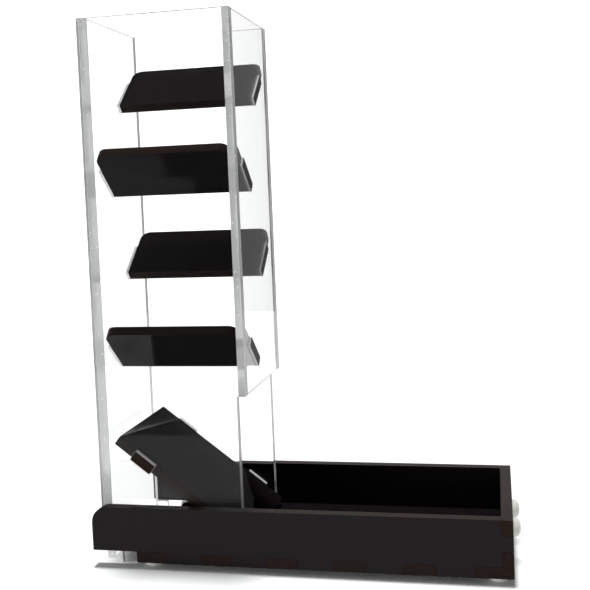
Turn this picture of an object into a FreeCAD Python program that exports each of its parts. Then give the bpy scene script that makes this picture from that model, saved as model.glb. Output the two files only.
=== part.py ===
# Dice tower: a clear tower with four sloping baffles and an exit ramp, standing in the left end
# of a low black tray. Every piece is laser-cut sheet, apart from the stick-on rubber bumpers.
# Millimetres. X runs along the tray towards its closed end, Y runs from the front wall to the
# rear wall, Z is up from the table. The origin is the bottom centre of the whole object.
import FreeCAD
import Part
import Sketcher

import os

DRIVING = {
    # tray
    "tray_length": 206.0,
    "tray_width": 85.0,
    "tray_sheet": 5.5,
    "wall_height": 27.5,
    "foot_height": 2.8,
    "floor_start": 23.0,
    "tab_width": 15.75,
    "tab_pitch": 33.0,
    "wall_corner_radius": 8.0,
    # tower walls
    "tower_inset": 3.0,
    "tower_width": 78.0,
    "tower_depth": 73.0,
    "tower_height": 273.0,
    "tower_sheet": 4.5,
    "wall_gap": 0.5,
    "floor_gap": 0.3,
    "exit_height": 85.0,
    "leg_start": 10.0,
    "leg_width": 8.5,
    # baffles
    "baffle_sheet": 5.0,
    "baffle_length": 31.5,
    "baffle_angle": 40.5,
    "baffle_corner_radius": 5.0,
    "baffle_tab_start": 11.5,
    "baffle_top": 253.5,
    "baffle_spacing": 44.8,
    # ramp
    "ramp_sheet": 5.0,
    "ramp_length": 84.5,
    "ramp_angle": 37.5,
    "ramp_head_x": 7.5,
    "ramp_tab_length": 12.0,
    "ramp_tab_upper": 11.5,
    "ramp_tab_lower": 61.0,
    "slot_clearance": 0.15,
    # rubber bumpers
    "bumper_radius": 4.75,
    "end_bumper_height": 3.8,
    "end_bumper_dome": 3.4,
    "foot_dome": 1.2,
    "end_bumper_spread": 26.0,
    "foot_inset": 7.0,
    "foot_left_x": 30.0,
    "foot_right_x": 199.0,
}

DERIVED = {
    "origin_x": "=(tray_length + end_bumper_height) / 2",
    "origin_y": "=tray_width / 2",
    "floor_top": "=foot_height + tray_sheet",
    "floor_length": "=tray_length - floor_start",
    "finger_width": "=tab_pitch - tab_width",
    "last_tab_x": "=floor_start + 5 * tab_pitch",
    "last_tab_width": "=tray_length - last_tab_x",
    "end_wall_x": "=tray_length - tray_sheet",
    "finger_height": "=(wall_height - tray_sheet) / 3",
    "upper_finger_z": "=tray_sheet + 2 * finger_height",
    "middle_finger_z": "=tray_sheet + finger_height",
    "end_tab_edge": "=tray_width / 2 - tab_width / 2",
    "end_finger_y": "=end_tab_edge - finger_width",
    "end_finger_far_y": "=end_tab_edge + tab_width",
    "end_corner_y": "=end_finger_far_y + finger_width",
    "rear_wall_y": "=tray_width - tray_sheet",
    "floor_end_notch_x": "=floor_length - tray_sheet",
    "tower_y": "=tray_sheet + wall_gap",
    "tower_rear_y": "=tower_y + tower_depth - tower_sheet",
    "panel_foot_z": "=floor_top + floor_gap",
    "inner_y": "=tower_y + tower_sheet",
    "inner_width": "=tower_width - 2 * tower_sheet",
    "inner_depth": "=tower_depth - 2 * tower_sheet",
    "exit_panel_x": "=tower_inset + tower_width - tower_sheet",
    "exit_panel_height": "=tower_height - exit_height",
    "exit_side_height": "=exit_height - panel_foot_z",
    "leg_end": "=leg_start + leg_width",
    "right_cut_x": "=tower_width - tower_sheet",
    "right_skirt_width": "=tower_width - leg_end",
    "baffle_rise": "=baffle_sheet / 2 * cos(baffle_angle * 1 deg)",
    "baffle_setback": "=baffle_sheet / 2 * sin(baffle_angle * 1 deg)",
    "baffle_tab_length": "=baffle_length - baffle_tab_start",
    "slot_along": "=(baffle_tab_start + baffle_length) / 2",
    "slot_reach": "=slot_along * cos(baffle_angle * 1 deg)",
    "slot_fall": "=slot_along * sin(baffle_angle * 1 deg)",
    "slot_length": "=baffle_tab_length + 2 * slot_clearance",
    "slot_width": "=baffle_sheet + 2 * slot_clearance",
    "front_slot_y": "=baffle_setback + slot_reach",
    "rear_slot_y": "=inner_depth - baffle_setback - slot_reach",
    "rear_slot_z": "=baffle_top - baffle_rise - slot_fall",
    "front_slot_z": "=rear_slot_z - baffle_spacing",
    "exit_rear_slot_z": "=rear_slot_z - exit_height",
    "exit_front_slot_z": "=front_slot_z - exit_height",
    "baffle_pair_spacing": "=2 * baffle_spacing",
    "ramp_drop": "=ramp_length * sin(ramp_angle * 1 deg)",
    "ramp_half": "=ramp_sheet / 2",
    "ramp_head_z": "=ramp_drop + ramp_half * cos(ramp_angle * 1 deg)",
    "ramp_mid_x": "=ramp_head_x + ramp_half * sin(ramp_angle * 1 deg)",
    "ramp_slot_length": "=ramp_tab_length + 2 * slot_clearance",
    "ramp_slot_width": "=ramp_sheet + 2 * slot_clearance",
    "ramp_upper_centre": "=ramp_tab_upper + ramp_tab_length / 2",
    "ramp_lower_centre": "=ramp_tab_lower + ramp_tab_length / 2",
    "ramp_upper_slot_x": "=ramp_mid_x + ramp_upper_centre * cos(ramp_angle * 1 deg)",
    "ramp_upper_slot_z": "=ramp_head_z - ramp_upper_centre * sin(ramp_angle * 1 deg)",
    "ramp_lower_slot_x": "=ramp_mid_x + ramp_lower_centre * cos(ramp_angle * 1 deg)",
    "ramp_lower_slot_z": "=ramp_head_z - ramp_lower_centre * sin(ramp_angle * 1 deg)",
    "end_bumper_z": "=foot_height + wall_height / 2",
}

doc = FreeCAD.newDocument("dice_tower")
sheet = doc.addObject("Spreadsheet::Sheet", "Sizes")
for row, (alias, content) in enumerate(list(DRIVING.items()) + list(DERIVED.items()), start=1):
    sheet.set(f"A{row}", alias)
    sheet.set(f"B{row}", str(content))
    sheet.setAlias(f"B{row}", alias)
doc.recompute()


def size(alias):
    """Value of a spreadsheet cell in millimetres, or degrees for an angle."""
    return float(sheet.get(alias))


def new_body(label, x=None, y=None, z=None, rotation=None):
    """Body whose own origin stands at the given cells, measured from the tray's front left foot."""
    body = doc.addObject("PartDesign::Body", label)
    body.Label = label
    if rotation is not None:
        body.Placement = FreeCAD.Placement(FreeCAD.Vector(0, 0, 0), rotation)
    body.setExpression("Placement.Base.x", f"({x or '0'}) * 1 mm - Sizes.origin_x * 1 mm")
    body.setExpression("Placement.Base.y", f"({y or '0'}) * 1 mm - Sizes.origin_y * 1 mm")
    body.setExpression("Placement.Base.z", f"({z or '0'}) * 1 mm")
    return body


def origin_feature(body, role):
    return next(item for item in body.Origin.OriginFeatures if item.Role == role)


def new_sketch(body, name, role):
    sketch = body.newObject("Sketcher::SketchObject", f"{body.Name}_{name}")
    sketch.AttachmentSupport = [(origin_feature(body, role), "")]
    sketch.MapMode = "FlatFace"
    return sketch


def bind(sketch, kind, alias, *references):
    """Adds one dimension to a sketch and ties it to a spreadsheet cell."""
    index = sketch.addConstraint(Sketcher.Constraint(kind, *references, size(alias)))
    sketch.setExpression(f"Constraints[{index}]", f"Sizes.{alias}")


def join_corners(sketch, first):
    """Closes four lines into a loop whose sides lie along the sketch axes."""
    for number in range(4):
        following = first + (number + 1) % 4
        sketch.addConstraint(Sketcher.Constraint("Coincident", first + number, 2, following, 1))
        direction = "Horizontal" if number % 2 == 0 else "Vertical"
        sketch.addConstraint(Sketcher.Constraint(direction, first + number))


def draw_loop(sketch, x0, y0, x1, y1):
    corners = [FreeCAD.Vector(x0, y0, 0), FreeCAD.Vector(x1, y0, 0),
               FreeCAD.Vector(x1, y1, 0), FreeCAD.Vector(x0, y1, 0)]
    first = sketch.GeometryCount
    for number in range(4):
        sketch.addGeometry(Part.LineSegment(corners[number], corners[(number + 1) % 4]), False)
    join_corners(sketch, first)
    return first


def add_rectangle(sketch, left, bottom, width, height):
    """Upright rectangle. Each argument names a cell; None puts that side on the sketch axis."""
    x0 = size(left) if left else 0.0
    y0 = size(bottom) if bottom else 0.0
    first = draw_loop(sketch, x0, y0, x0 + size(width), y0 + size(height))
    if left:
        bind(sketch, "DistanceX", left, -1, 1, first, 1)
    else:
        sketch.addConstraint(Sketcher.Constraint("PointOnObject", first, 1, -2))
    if bottom:
        bind(sketch, "DistanceY", bottom, -1, 1, first, 1)
    else:
        sketch.addConstraint(Sketcher.Constraint("PointOnObject", first, 1, -1))
    bind(sketch, "DistanceX", width, first, 1, first, 2)
    bind(sketch, "DistanceY", height, first + 1, 1, first + 1, 2)


def add_centred_rectangle(sketch, width, height):
    """Rectangle centred on the sketch's own origin."""
    half_width, half_height = size(width) / 2, size(height) / 2
    draw_loop(sketch, -half_width, -half_height, half_width, half_height)
    sketch.addConstraint(Sketcher.Constraint("Symmetric", 0, 1, 1, 2, -1, 1))
    bind(sketch, "DistanceX", width, 0, 1, 0, 2)
    bind(sketch, "DistanceY", height, 1, 1, 1, 2)


def pad(body, sketch, thickness, reverse=False, midplane=False):
    feature = body.newObject("PartDesign::Pad", f"{sketch.Name}_pad")
    feature.Profile = sketch
    feature.setExpression("Length", f"Sizes.{thickness} * 1 mm")
    feature.Reversed = reverse
    feature.Midplane = midplane
    doc.recompute()
    return feature


def cut_through(body, sketch):
    """Pocket through the whole sheet, in both directions from the sketch plane."""
    volume_before = body.Shape.Volume
    feature = body.newObject("PartDesign::Pocket", f"{sketch.Name}_pocket")
    feature.Profile = sketch
    feature.Type = 1
    feature.Midplane = True
    doc.recompute()
    if not body.Shape.Volume < volume_before - 1:
        raise RuntimeError(f"{sketch.Name} removed nothing")
    return feature


def repeat(body, feature, axis_role, spacing, count, reverse=False):
    """Copies a pocket along one of the body's axes."""
    volume_before = body.Shape.Volume
    pattern = body.newObject("PartDesign::LinearPattern", f"{feature.Name}_row")
    pattern.Originals = [feature]
    pattern.Direction = (origin_feature(body, axis_role), [""])
    pattern.Reversed = reverse
    pattern.setExpression("Length", f"Sizes.{spacing} * {count - 1} * 1 mm")
    pattern.Occurrences = count
    body.Tip = pattern
    doc.recompute()
    if not body.Shape.Volume < volume_before - 1:
        raise RuntimeError(f"{pattern.Name} removed nothing")
    return pattern


def edges_where(shape, test):
    return [f"Edge{number}" for number, edge in enumerate(shape.Edges, start=1) if test(edge)]


def fillet(body, base, edge_names, radius):
    feature = body.newObject("PartDesign::Fillet", f"{base.Name}_fillet")
    feature.Base = (base, edge_names)
    feature.setExpression("Radius", f"Sizes.{radius} * 1 mm")
    doc.recompute()
    return feature


def add_slot(body, name, role, centre_x, centre_y, angle, length, width):
    """Slanted slot through a sheet: its centre and sizes are cells, its angle is in degrees."""
    sketch = new_sketch(body, name, role)
    turn = FreeCAD.Rotation(FreeCAD.Vector(0, 0, 1), angle)
    sketch.AttachmentOffset = FreeCAD.Placement(FreeCAD.Vector(0, 0, 0), turn)
    sketch.setExpression("AttachmentOffset.Base.x", f"({centre_x}) * 1 mm")
    sketch.setExpression("AttachmentOffset.Base.y", f"({centre_y}) * 1 mm")
    add_centred_rectangle(sketch, length, width)
    doc.recompute()
    return cut_through(body, sketch)


# ---------------------------------------------------------------- tray

def make_floor():
    """Floor with a tab at every gap between wall fingers, and square corners at the closed end."""
    body = new_body("tray_floor", x="Sizes.floor_start", z="Sizes.foot_height")
    outline = new_sketch(body, "outline", "XY_Plane")
    add_rectangle(outline, None, None, "floor_length", "tray_width")
    base = pad(body, outline, "tray_sheet")
    for name, bottom in (("front_notch", None), ("rear_notch", "rear_wall_y")):
        notch = new_sketch(body, name, "XY_Plane")
        add_rectangle(notch, "tab_width", bottom, "finger_width", "tray_sheet")
        repeat(body, cut_through(body, notch), "X_Axis", "tab_pitch", 5)
    for name, bottom in (("end_notch_a", "end_finger_y"), ("end_notch_b", "end_finger_far_y")):
        notch = new_sketch(body, name, "XY_Plane")
        add_rectangle(notch, "floor_end_notch_x", bottom, "tray_sheet", "finger_width")
        cut_through(body, notch)


def make_long_wall(label, y):
    """Long wall: raised at the open end, fingers along the floor, fingers up the closed corner."""
    body = new_body(label, y=y, z="Sizes.foot_height")
    outline = new_sketch(body, "outline", "XZ_Plane")
    add_rectangle(outline, None, None, "tray_length", "wall_height")
    pad(body, outline, "tray_sheet", reverse=True)
    raised = new_sketch(body, "raised_end", "XZ_Plane")
    add_rectangle(raised, None, None, "floor_start", "tray_sheet")
    cut_through(body, raised)
    notch = new_sketch(body, "floor_tab_notch", "XZ_Plane")
    add_rectangle(notch, "floor_start", None, "tab_width", "tray_sheet")
    repeat(body, cut_through(body, notch), "X_Axis", "tab_pitch", 5)
    corner = new_sketch(body, "floor_corner_notch", "XZ_Plane")
    add_rectangle(corner, "last_tab_x", None, "last_tab_width", "tray_sheet")
    cut_through(body, corner)
    last = None
    for name, bottom in (("lower_finger_notch", "tray_sheet"), ("upper_finger_notch", "upper_finger_z")):
        notch = new_sketch(body, name, "XZ_Plane")
        add_rectangle(notch, "end_wall_x", bottom, "tray_sheet", "finger_height")
        last = cut_through(body, notch)
    top = size("wall_height")

    def open_top_corner(edge):
        centre = edge.CenterOfMass
        return abs(centre.x) < 0.01 and abs(centre.z - top) < 0.01

    fillet(body, last, edges_where(last.Shape, open_top_corner), "wall_corner_radius")


def make_end_wall():
    """Closed end: its fingers lock into the long walls and the floor."""
    body = new_body("tray_end_wall", x="Sizes.end_wall_x", z="Sizes.foot_height")
    outline = new_sketch(body, "outline", "YZ_Plane")
    add_rectangle(outline, None, None, "tray_width", "wall_height")
    pad(body, outline, "tray_sheet")
    for name, left in (("front_finger_notch", None), ("rear_finger_notch", "rear_wall_y")):
        notch = new_sketch(body, name, "YZ_Plane")
        add_rectangle(notch, left, "middle_finger_z", "tray_sheet", "finger_height")
        cut_through(body, notch)
    for name, left, width in (("floor_corner_a", None, "end_finger_y"),
                              ("floor_tab", "end_tab_edge", "tab_width"),
                              ("floor_corner_b", "end_corner_y", "end_finger_y")):
        notch = new_sketch(body, name, "YZ_Plane")
        add_rectangle(notch, left, None, width, "tray_sheet")
        cut_through(body, notch)


def make_bumper(label, height, dome, x, y, z, rotation):
    """Stick-on rubber bumper: a round button with a domed face."""
    body = new_body(label, x=x, y=y, z=z, rotation=rotation)
    outline = new_sketch(body, "outline", "XY_Plane")
    centre, normal = FreeCAD.Vector(0, 0, 0), FreeCAD.Vector(0, 0, 1)
    outline.addGeometry(Part.Circle(centre, normal, size("bumper_radius")), False)
    outline.addConstraint(Sketcher.Constraint("Coincident", 0, 3, -1, 1))
    bind(outline, "Radius", "bumper_radius", 0)
    base = pad(body, outline, height)
    top = size(height)
    rim = edges_where(base.Shape, lambda edge: abs(edge.BoundBox.ZMin - top) < 0.01)
    fillet(body, base, rim, dome)


# ---------------------------------------------------------------- tower

def make_side_panel(label, y):
    """Front or rear panel: full width above the exit, a leg down to the table, two ramp slots."""
    body = new_body(label, x="Sizes.tower_inset", y=y)
    outline = new_sketch(body, "outline", "XZ_Plane")
    add_rectangle(outline, None, None, "tower_width", "tower_height")
    pad(body, outline, "tower_sheet", reverse=True)
    for name, left, width in (("left_of_leg", None, "leg_start"),
                              ("over_floor", "leg_end", "right_skirt_width")):
        notch = new_sketch(body, name, "XZ_Plane")
        add_rectangle(notch, left, None, width, "panel_foot_z")
        cut_through(body, notch)
    exit_side = new_sketch(body, "exit_side", "XZ_Plane")
    add_rectangle(exit_side, "right_cut_x", "panel_foot_z", "tower_sheet", "exit_side_height")
    cut_through(body, exit_side)
    for place in ("upper", "lower"):
        add_slot(body, f"{place}_ramp_slot", "XZ_Plane", f"Sizes.ramp_{place}_slot_x",
                 f"Sizes.ramp_{place}_slot_z + Sizes.panel_foot_z", -size("ramp_angle"),
                 "ramp_slot_length", "ramp_slot_width")


def make_end_panel(label, x, foot, height, rear_slot_z, front_slot_z):
    """Left or exit panel between the side panels, with one slot for each baffle."""
    body = new_body(label, x=x, y="Sizes.inner_y", z=foot)
    outline = new_sketch(body, "outline", "YZ_Plane")
    add_rectangle(outline, None, None, "inner_depth", height)
    pad(body, outline, "tower_sheet")
    for name, slot_y, slot_z, angle in (
            ("rear_slot", "rear_slot_y", rear_slot_z, size("baffle_angle")),
            ("front_slot", "front_slot_y", front_slot_z, -size("baffle_angle"))):
        slot = add_slot(body, name, "YZ_Plane", f"Sizes.{slot_y}", f"Sizes.{slot_z}", angle,
                        "slot_length", "slot_width")
        repeat(body, slot, "Z_Axis", "baffle_pair_spacing", 2, reverse=True)


def make_baffle(number):
    """Sloping shelf: odd ones hang from the rear panel, even ones from the front panel."""
    from_rear = number % 2 == 1
    angle = size("baffle_angle")
    turn = FreeCAD.Rotation(FreeCAD.Vector(1, 0, 0), 180 + angle if from_rear else -angle)
    front_y = "Sizes.inner_y + Sizes.baffle_setback"
    rear_y = "Sizes.inner_y + Sizes.inner_depth - Sizes.baffle_setback"
    height = f"Sizes.baffle_top - Sizes.baffle_rise - {number - 1} * Sizes.baffle_spacing"
    body = new_body(f"baffle_{number}", x="Sizes.tower_inset", y=rear_y if from_rear else front_y,
                    z=height, rotation=turn)
    outline = new_sketch(body, "outline", "XY_Plane")
    add_rectangle(outline, "tower_sheet", None, "inner_width", "baffle_length")
    plate = pad(body, outline, "baffle_sheet", midplane=True)

    def high_corner(edge):
        centre = edge.CenterOfMass
        return abs(centre.y) < 0.01 and abs(centre.z) < 0.01 and edge.Length < size("baffle_sheet") + 0.1

    fillet(body, plate, edges_where(plate.Shape, high_corner), "baffle_corner_radius")
    tabs = new_sketch(body, "tabs", "XY_Plane")
    add_rectangle(tabs, None, "baffle_tab_start", "tower_width", "baffle_tab_length")
    pad(body, tabs, "baffle_sheet", midplane=True)


def make_ramp():
    """Exit ramp from behind the left panel down to the tray floor, tabbed into the side panels."""
    turn = FreeCAD.Rotation(FreeCAD.Vector(0, 1, 0), size("ramp_angle"))
    body = new_body("exit_ramp", x="Sizes.tower_inset + Sizes.ramp_mid_x", y="Sizes.tower_y",
                    z="Sizes.ramp_head_z + Sizes.panel_foot_z", rotation=turn)
    outline = new_sketch(body, "outline", "XY_Plane")
    add_rectangle(outline, None, "tower_sheet", "ramp_length", "inner_depth")
    pad(body, outline, "ramp_sheet", midplane=True)
    for place in ("upper", "lower"):
        tabs = new_sketch(body, f"{place}_tabs", "XY_Plane")
        add_rectangle(tabs, f"ramp_tab_{place}", None, "ramp_tab_length", "tower_depth")
        pad(body, tabs, "ramp_sheet", midplane=True)


make_floor()
make_long_wall("tray_front_wall", y="0")
make_long_wall("tray_rear_wall", y="Sizes.rear_wall_y")
make_end_wall()

FACE_DOWN = FreeCAD.Rotation(FreeCAD.Vector(1, 0, 0), 180)
FACE_OUT = FreeCAD.Rotation(FreeCAD.Vector(0, 1, 0), 90)
FEET = (("front_left", "foot_left_x", "Sizes.foot_inset"),
        ("front_right", "foot_right_x", "Sizes.foot_inset"),
        ("rear_left", "foot_left_x", "Sizes.tray_width - Sizes.foot_inset"),
        ("rear_right", "foot_right_x", "Sizes.tray_width - Sizes.foot_inset"))
for place, foot_x, foot_y in FEET:
    make_bumper(f"foot_{place}", "foot_height", "foot_dome", f"Sizes.{foot_x}", foot_y,
                "Sizes.foot_height", FACE_DOWN)
for place, side in (("front", "-"), ("rear", "+")):
    make_bumper(f"end_bumper_{place}", "end_bumper_height", "end_bumper_dome", "Sizes.tray_length",
                f"Sizes.tray_width / 2 {side} Sizes.end_bumper_spread / 2", "Sizes.end_bumper_z", FACE_OUT)

make_side_panel("tower_front_panel", y="Sizes.tower_y")
make_side_panel("tower_rear_panel", y="Sizes.tower_rear_y")
make_end_panel("tower_left_panel", "Sizes.tower_inset", "0", "tower_height",
               "rear_slot_z", "front_slot_z")
make_end_panel("tower_exit_panel", "Sizes.exit_panel_x", "Sizes.exit_height", "exit_panel_height",
               "exit_rear_slot_z", "exit_front_slot_z")
for number in range(1, 5):
    make_baffle(number)
make_ramp()

doc.recompute()
for item in doc.Objects:
    if "Invalid" in item.State or "Error" in item.State:
        raise RuntimeError(f"{item.Name} did not compute: {item.State}")

os.makedirs("parts", exist_ok=True)
for body in doc.findObjects("PartDesign::Body"):
    shape = body.Shape
    if shape.isNull() or not shape.isValid() or len(shape.Solids) != 1:
        raise RuntimeError(f"{body.Label} is not one sound solid")
    shape.exportStep(f"parts/{body.Label}.step")
    box = shape.BoundBox
    print(f"{body.Label}: {shape.Volume:.0f} mm3, X {box.XMin:.2f} to {box.XMax:.2f}, "
          f"Y {box.YMin:.2f} to {box.YMax:.2f}, Z {box.ZMin:.2f} to {box.ZMax:.2f}")
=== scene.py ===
import math

import bpy
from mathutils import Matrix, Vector


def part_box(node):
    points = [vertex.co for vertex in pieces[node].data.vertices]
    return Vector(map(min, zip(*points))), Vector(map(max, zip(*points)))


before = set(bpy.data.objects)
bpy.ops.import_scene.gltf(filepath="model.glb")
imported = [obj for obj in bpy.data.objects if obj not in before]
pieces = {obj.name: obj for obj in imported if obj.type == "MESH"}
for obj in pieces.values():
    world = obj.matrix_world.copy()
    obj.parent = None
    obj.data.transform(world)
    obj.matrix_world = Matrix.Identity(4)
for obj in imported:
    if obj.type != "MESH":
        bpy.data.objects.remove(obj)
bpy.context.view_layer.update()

# Dice tower: a clear tower with black baffles, standing in the open end of a black finger-jointed tray.
# Metres, in the frame of the CAD model: +X along the tray, +Y to the rear, +Z up.

MM = 0.001


# ---------------------------------------------------------------------------------- node helpers


class Nodes:
    """A material's or world's node tree, with short calls for the nodes used here."""

    def __init__(self, owner):
        owner.use_nodes = True
        self.tree = owner.node_tree
        self.tree.nodes.clear()

    def add(self, kind, inputs=None, **settings):
        node = self.tree.nodes.new(kind)
        for name, value in settings.items():
            setattr(node, name, value)
        for name, value in (inputs or {}).items():
            self.set(node.inputs[name], value)
        return node

    def set(self, socket, value):
        """Link an input to another node's output, or give it a plain value."""
        if isinstance(value, bpy.types.NodeSocket):
            self.tree.links.new(value, socket)
        else:
            socket.default_value = value

    def math(self, operation, *values):
        node = self.add("ShaderNodeMath", operation=operation)
        for socket, value in zip(node.inputs, values):
            self.set(socket, value)
        return node.outputs[0]

    def remap(self, value, from_low=0.0, from_high=1.0, to_low=0.0, to_high=1.0):
        node = self.add("ShaderNodeMapRange", {
            "Value": value, "From Min": from_low, "From Max": from_high,
            "To Min": to_low, "To Max": to_high})
        return node.outputs["Result"]

    def mix_value(self, factor, first, second):
        node = self.add("ShaderNodeMix", data_type="FLOAT")
        self.set(node.inputs[0], factor)
        self.set(node.inputs[2], first)
        self.set(node.inputs[3], second)
        return node.outputs[0]

    def mix_colour(self, factor, first, second):
        node = self.add("ShaderNodeMix", data_type="RGBA")
        self.set(node.inputs[0], factor)
        self.set(node.inputs[6], first)
        self.set(node.inputs[7], second)
        return node.outputs[2]

    def noise(self, where, scale, detail=2.0, roughness=0.5, stretch=(1.0, 1.0, 1.0)):
        """Noise from 0 to 1. scale is in waves per metre, and stretch multiplies it along each axis."""
        mapped = self.add("ShaderNodeMapping", {"Vector": where, "Scale": stretch})
        node = self.add("ShaderNodeTexNoise", {
            "Vector": mapped.outputs[0], "Scale": scale, "Detail": detail, "Roughness": roughness})
        return node.outputs["Fac"]

    def bump(self, height, distance, strength=1.0, normal=None):
        node = self.add("ShaderNodeBump", {"Height": height, "Distance": distance, "Strength": strength})
        if normal is not None:
            self.set(node.inputs["Normal"], normal)
        return node.outputs[0]

    def output(self, shader):
        self.add("ShaderNodeOutputMaterial", {"Surface": shader.outputs[0]})

    def output_letting_light_through(self, shader, tint):
        """Output a clear piece's shader, with shadow rays let through the piece in the given tint."""
        through = self.add("ShaderNodeBsdfTransparent", {"Color": tint})
        path = self.add("ShaderNodeLightPath")
        choice = self.add("ShaderNodeMixShader")
        self.set(choice.inputs[0], path.outputs["Is Shadow Ray"])
        self.set(choice.inputs[1], shader.outputs[0])
        self.set(choice.inputs[2], through.outputs[0])
        self.output(choice)


def new_material(name):
    material = bpy.data.materials.new(name)
    return material, Nodes(material)


# ----------------------------------------------------------------------------- faces of the sheets

# The face normals of the sheets that are square to an axis, as (x, y, z).
ALONG_X = (1.0, 0.0, 0.0)
ALONG_Y = (0.0, 1.0, 0.0)
ALONG_Z = (0.0, 0.0, 1.0)
SQUARE_NORMALS = {
    "tray_floor": ALONG_Z, "tray_front_wall": ALONG_Y, "tray_rear_wall": ALONG_Y, "tray_end_wall": ALONG_X,
    "tower_front_panel": ALONG_Y, "tower_rear_panel": ALONG_Y,
    "tower_left_panel": ALONG_X, "tower_exit_panel": ALONG_X,
}


def slope_normal(name):
    """The face normal of a sloping sheet, near enough, from the diagonal of its box across the slope."""
    low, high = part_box(name)
    size = high - low
    if name == "exit_ramp":
        return tuple(Vector((size.z, 0.0, size.x)).normalized())
    side = 1.0 if low.y + high.y > 0 else -1.0
    return tuple(Vector((0.0, -side * size.z, size.y)).normalized())


def edge_mask(n, coords, face_normal):
    """0 on a sheet's two broad faces and 1 on its cut edges."""
    facing = n.add("ShaderNodeVectorMath", operation="DOT_PRODUCT")
    n.set(facing.inputs[0], coords.outputs["Normal"])
    n.set(facing.inputs[1], face_normal)
    return n.remap(n.math("ABSOLUTE", facing.outputs["Value"]), 0.55, 0.9, 1.0, 0.0)


def laser_marks(n, where, face_normal):
    """Height of the marks that a laser leaves on a cut edge.

    They are fine lines across the thickness of a square sheet, and an even grain on a sloping one.
    """
    along = [1.0 - abs(c) if abs(c) > 0.99 else 1.0 for c in face_normal]
    return n.noise(where, scale=2600.0, detail=3.0, roughness=0.6, stretch=along)


# ------------------------------------------------------------------------------------- materials

ACRYLIC_IOR = 1.49
RUBBER_IOR = 1.46

# Roughness and specular level of the black faces, on the tray and on the baffles and ramp. They are
# low, since the real blacks are deep.
TRAY_GLOSS, TRAY_SHEEN = 0.12, 0.12
SLOPE_GLOSS, SLOPE_SHEEN = 0.035, 0.055
CUT_SHEEN = 0.05

CUT_BROWN = (0.020, 0.0125, 0.0100)
SCORCHED_SHARE = 0.55


def clear_acrylic(name, face_normal):
    """Clear cast acrylic: faint smudges on the faces, a satin and finely lined laser-cut edge."""
    face_colour = (0.985, 0.99, 0.992, 1.0)
    dull_cut, bright_cut = (0.88, 0.885, 0.89, 1.0), (0.99, 0.99, 0.99, 1.0)
    reflection_tint = (0.2, 0.2, 0.2, 1.0)
    shadow_tint = (0.93, 0.94, 0.94, 1.0)
    face_clearness, cut_clearness = 1.0, 0.45

    material, n = new_material(name)
    coords = n.add("ShaderNodeTexCoord")
    where = coords.outputs["Object"]
    edge = edge_mask(n, coords, face_normal)
    smudge = n.remap(n.noise(where, scale=38.0, detail=5.0, roughness=0.62), 0.48, 0.72, 0.0, 0.03)
    lined = n.remap(n.noise(where, scale=900.0), 0.35, 0.7, 0.10, 0.28)
    height = n.math("MULTIPLY", laser_marks(n, where, face_normal), edge)
    cut = n.mix_colour(n.remap(n.noise(where, scale=30.0, detail=3.0), 0.3, 0.7), dull_cut, bright_cut)
    shader = n.add("ShaderNodeBsdfPrincipled", {
        "Base Color": n.mix_colour(edge, face_colour, cut), "IOR": ACRYLIC_IOR,
        "Roughness": n.math("ADD", n.math("MULTIPLY", edge, lined), smudge),
        "Transmission Weight": n.remap(edge, to_low=face_clearness, to_high=cut_clearness),
        "Specular Tint": reflection_tint, "Normal": n.bump(height, 0.04 * MM)})
    n.output_letting_light_through(shader, shadow_tint)
    return material


def black_acrylic(name, face_normal, gloss, sheen):
    """Black cast acrylic with a brown, scorched laser-cut edge.

    gloss is the faces' roughness and sheen their specular level.
    """
    deep_face, pale_face = (0.0055, 0.0042, 0.0050, 1.0), (0.0080, 0.0062, 0.0074, 1.0)
    reflection_tint = (1.0, 0.90, 0.98, 1.0)
    brown = CUT_BROWN + (1.0,)
    scorched = tuple(SCORCHED_SHARE * c for c in CUT_BROWN) + (1.0,)

    material, n = new_material(name)
    coords = n.add("ShaderNodeTexCoord")
    where = coords.outputs["Object"]
    edge = edge_mask(n, coords, face_normal)
    face = n.mix_colour(n.noise(where, scale=24.0, detail=4.0, roughness=0.6), deep_face, pale_face)
    scorch = n.noise(where, scale=420.0, detail=4.0, roughness=0.7)
    cut = n.mix_colour(n.remap(scorch, 0.3, 0.7), scorched, brown)
    smear = n.remap(n.noise(where, scale=60.0, detail=6.0, roughness=0.65), 0.45, 0.75, 0.0, 0.05)
    cut_roughness = n.remap(scorch, 0.3, 0.7, 0.34, 0.5)
    height = n.math("MULTIPLY", laser_marks(n, where, face_normal), edge)
    sheet_wave = n.bump(n.noise(where, scale=17.0, detail=1.0), 0.05 * MM, 0.35)
    shader = n.add("ShaderNodeBsdfPrincipled", {
        "Base Color": n.mix_colour(edge, face, cut), "IOR": ACRYLIC_IOR,
        "Roughness": n.mix_value(edge, n.math("ADD", smear, gloss), cut_roughness),
        "Specular IOR Level": n.remap(edge, to_low=sheen, to_high=CUT_SHEEN),
        "Specular Tint": reflection_tint, "Normal": n.bump(height, 0.06 * MM, normal=sheet_wave)})
    n.output(shader)
    return material


def clear_rubber(name):
    """Clear moulded polyurethane: slightly cloudy, with a soft gloss."""
    cloudy, clear = (0.92, 0.92, 0.86, 1.0), (0.97, 0.97, 0.92, 1.0)
    shadow_tint = (0.85, 0.85, 0.84, 1.0)

    material, n = new_material(name)
    where = n.add("ShaderNodeTexCoord").outputs["Object"]
    haze = n.noise(where, scale=260.0, detail=3.0)
    shader = n.add("ShaderNodeBsdfPrincipled", {
        "Base Color": n.mix_colour(haze, cloudy, clear), "Roughness": n.remap(haze, 0.3, 0.7, 0.07, 0.16),
        "IOR": RUBBER_IOR, "Transmission Weight": 0.4,
        "Normal": n.bump(n.noise(where, scale=520.0), 0.02 * MM, 0.5)})
    n.output_letting_light_through(shader, shadow_tint)
    return material


def is_rubber(name):
    return name.startswith(("foot_", "end_bumper_"))


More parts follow.
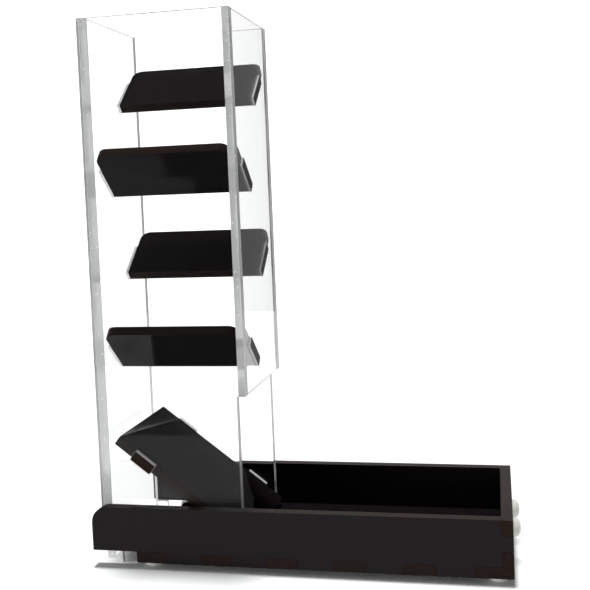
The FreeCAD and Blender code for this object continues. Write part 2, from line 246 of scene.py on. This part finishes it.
def make_finish(name):
    """The material for the piece with this name."""
    if name.startswith("tower_"):
        return clear_acrylic(name, SQUARE_NORMALS[name])
    if name.startswith("tray_"):
        return black_acrylic(name, SQUARE_NORMALS[name], TRAY_GLOSS, TRAY_SHEEN)
    if is_rubber(name):
        return clear_rubber(name)
    return black_acrylic(name, slope_normal(name), SLOPE_GLOSS, SLOPE_SHEEN)


# -------------------------------------------------------------------------------------- cut edges

# The sheets' laser-cut edges are softened by this much, and each sheet is drawn in from its
# neighbours by a hair, so that light meets two surfaces at a joint.
EDGE_SOFTENING = 0.18 * MM
JOINT_GAP = 0.012 * MM

# Points closer than this are joined, and faces that turn by more than this angle meet at an edge.
SAME_POINT = 0.001 * MM
EDGE_ANGLE = math.radians(40.0)


def soften_sheet(sheet):
    joined = sheet.modifiers.new("joined", "WELD")
    joined.merge_threshold = SAME_POINT
    softened = sheet.modifiers.new("softened", "BEVEL")
    softened.width = EDGE_SOFTENING
    softened.segments = 2
    softened.limit_method = "ANGLE"
    softened.angle_limit = EDGE_ANGLE
    softened.harden_normals = True
    drawn_in = sheet.modifiers.new("drawn_in", "DISPLACE")
    drawn_in.strength = -JOINT_GAP
    drawn_in.mid_level = 0.0


for name, piece in pieces.items():
    piece.data.materials.clear()
    piece.data.materials.append(make_finish(name))
    if not is_rubber(name):
        soften_sheet(piece)


# ------------------------------------------------------------------------ floor, light and camera

# The floor stops close in front of the tray: the clear panels mirror what lies there, and more of
# it would veil the black pieces behind them.
FLOOR_SIDE, FLOOR_FRONT, FLOOR_REAR = 0.9, -0.27, 0.9

# How bright the room is, and the white screen in it. Each of the screen's edges fades over a range
# of one component of the direction that is looked in.
ROOM_LEVEL = 0.20
SCREEN_LEVEL = 1.45
SCREEN_NEAR_Y = (0.3, 0.6)
SCREEN_TOP_Z = (0.2, 0.34)
SCREEN_RIGHT_X = (0.11, 0.2)


def make_floor():
    mesh = bpy.data.meshes.new("floor")
    corners = [(-FLOOR_SIDE, FLOOR_FRONT, 0.0), (FLOOR_SIDE, FLOOR_FRONT, 0.0),
               (FLOOR_SIDE, FLOOR_REAR, 0.0), (-FLOOR_SIDE, FLOOR_REAR, 0.0)]
    mesh.from_pydata(corners, [], [(0, 1, 2, 3)])
    floor = bpy.data.objects.new("floor", mesh)
    bpy.context.scene.collection.objects.link(floor)
    material, n = new_material("floor")
    n.output(n.add("ShaderNodeBsdfPrincipled", {
        "Base Color": (0.9, 0.9, 0.9, 1.0), "Roughness": 0.7, "Specular IOR Level": 0.1}))
    mesh.materials.append(material)


def make_world():
    """A dim studio with a white screen to the rear, wide enough to fill the picture."""
    world = bpy.data.worlds.new("studio")
    bpy.context.scene.world = world
    n = Nodes(world)
    direction = n.add("ShaderNodeTexCoord").outputs["Generated"]
    axes = n.add("ShaderNodeSeparateXYZ", {"Vector": direction})
    to_rear = n.remap(axes.outputs["Y"], *SCREEN_NEAR_Y)
    below_top = n.remap(axes.outputs["Z"], *SCREEN_TOP_Z, 1.0, 0.0)
    left_of_end = n.remap(axes.outputs["X"], *SCREEN_RIGHT_X, 1.0, 0.0)
    screen = n.math("MULTIPLY", n.math("MULTIPLY", to_rear, below_top), left_of_end)
    strength = n.remap(screen, to_low=ROOM_LEVEL, to_high=SCREEN_LEVEL)
    background = n.add("ShaderNodeBackground", {"Color": (1.0, 1.0, 1.0, 1.0), "Strength": strength})
    n.add("ShaderNodeOutputWorld", {"Surface": background.outputs[0]})


def make_lamp(name, energy, width, rotation):
    """A distant softbox, with its width and rotation in degrees.

    It lights the pieces but is not seen in reflections or through the clear pieces.
    """
    lamp = bpy.data.lights.new(name, "SUN")
    lamp.energy = energy
    lamp.angle = math.radians(width)
    softbox = bpy.data.objects.new(name, lamp)
    softbox.rotation_euler = [math.radians(a) for a in rotation]
    softbox.visible_glossy = False
    softbox.visible_transmission = False
    bpy.context.scene.collection.objects.link(softbox)


def make_camera():
    """The camera that sees the object as it was photographed."""
    lens = bpy.data.cameras.new("camera")
    lens.sensor_width = 36.0
    lens.lens = 57.24
    lens.shift_y = -0.0913
    lens.clip_start = 0.01
    camera = bpy.data.objects.new("camera", lens)
    camera.location = (0.0974, -0.4710, 0.1857)
    camera.rotation_euler = [math.radians(a) for a in (86.71, 2.37, 12.02)]
    bpy.context.scene.collection.objects.link(camera)
    bpy.context.scene.camera = camera


make_floor()
make_world()
make_lamp("overhead", energy=3.7, width=8.0, rotation=(-5.0, -2.0, 0.0))
make_lamp("front_left", energy=1.7, width=20.0, rotation=(86.0, 0.0, -50.0))
make_camera()

# A path of light crosses many clear faces before it leaves the tower.
CLEAR_BOUNCES = 24
MIRROR_BOUNCES = 8

scene = bpy.context.scene
scene.view_settings.view_transform = "Standard"
scene.cycles.max_bounces = CLEAR_BOUNCES
scene.cycles.transmission_bounces = CLEAR_BOUNCES
scene.cycles.glossy_bounces = MIRROR_BOUNCES
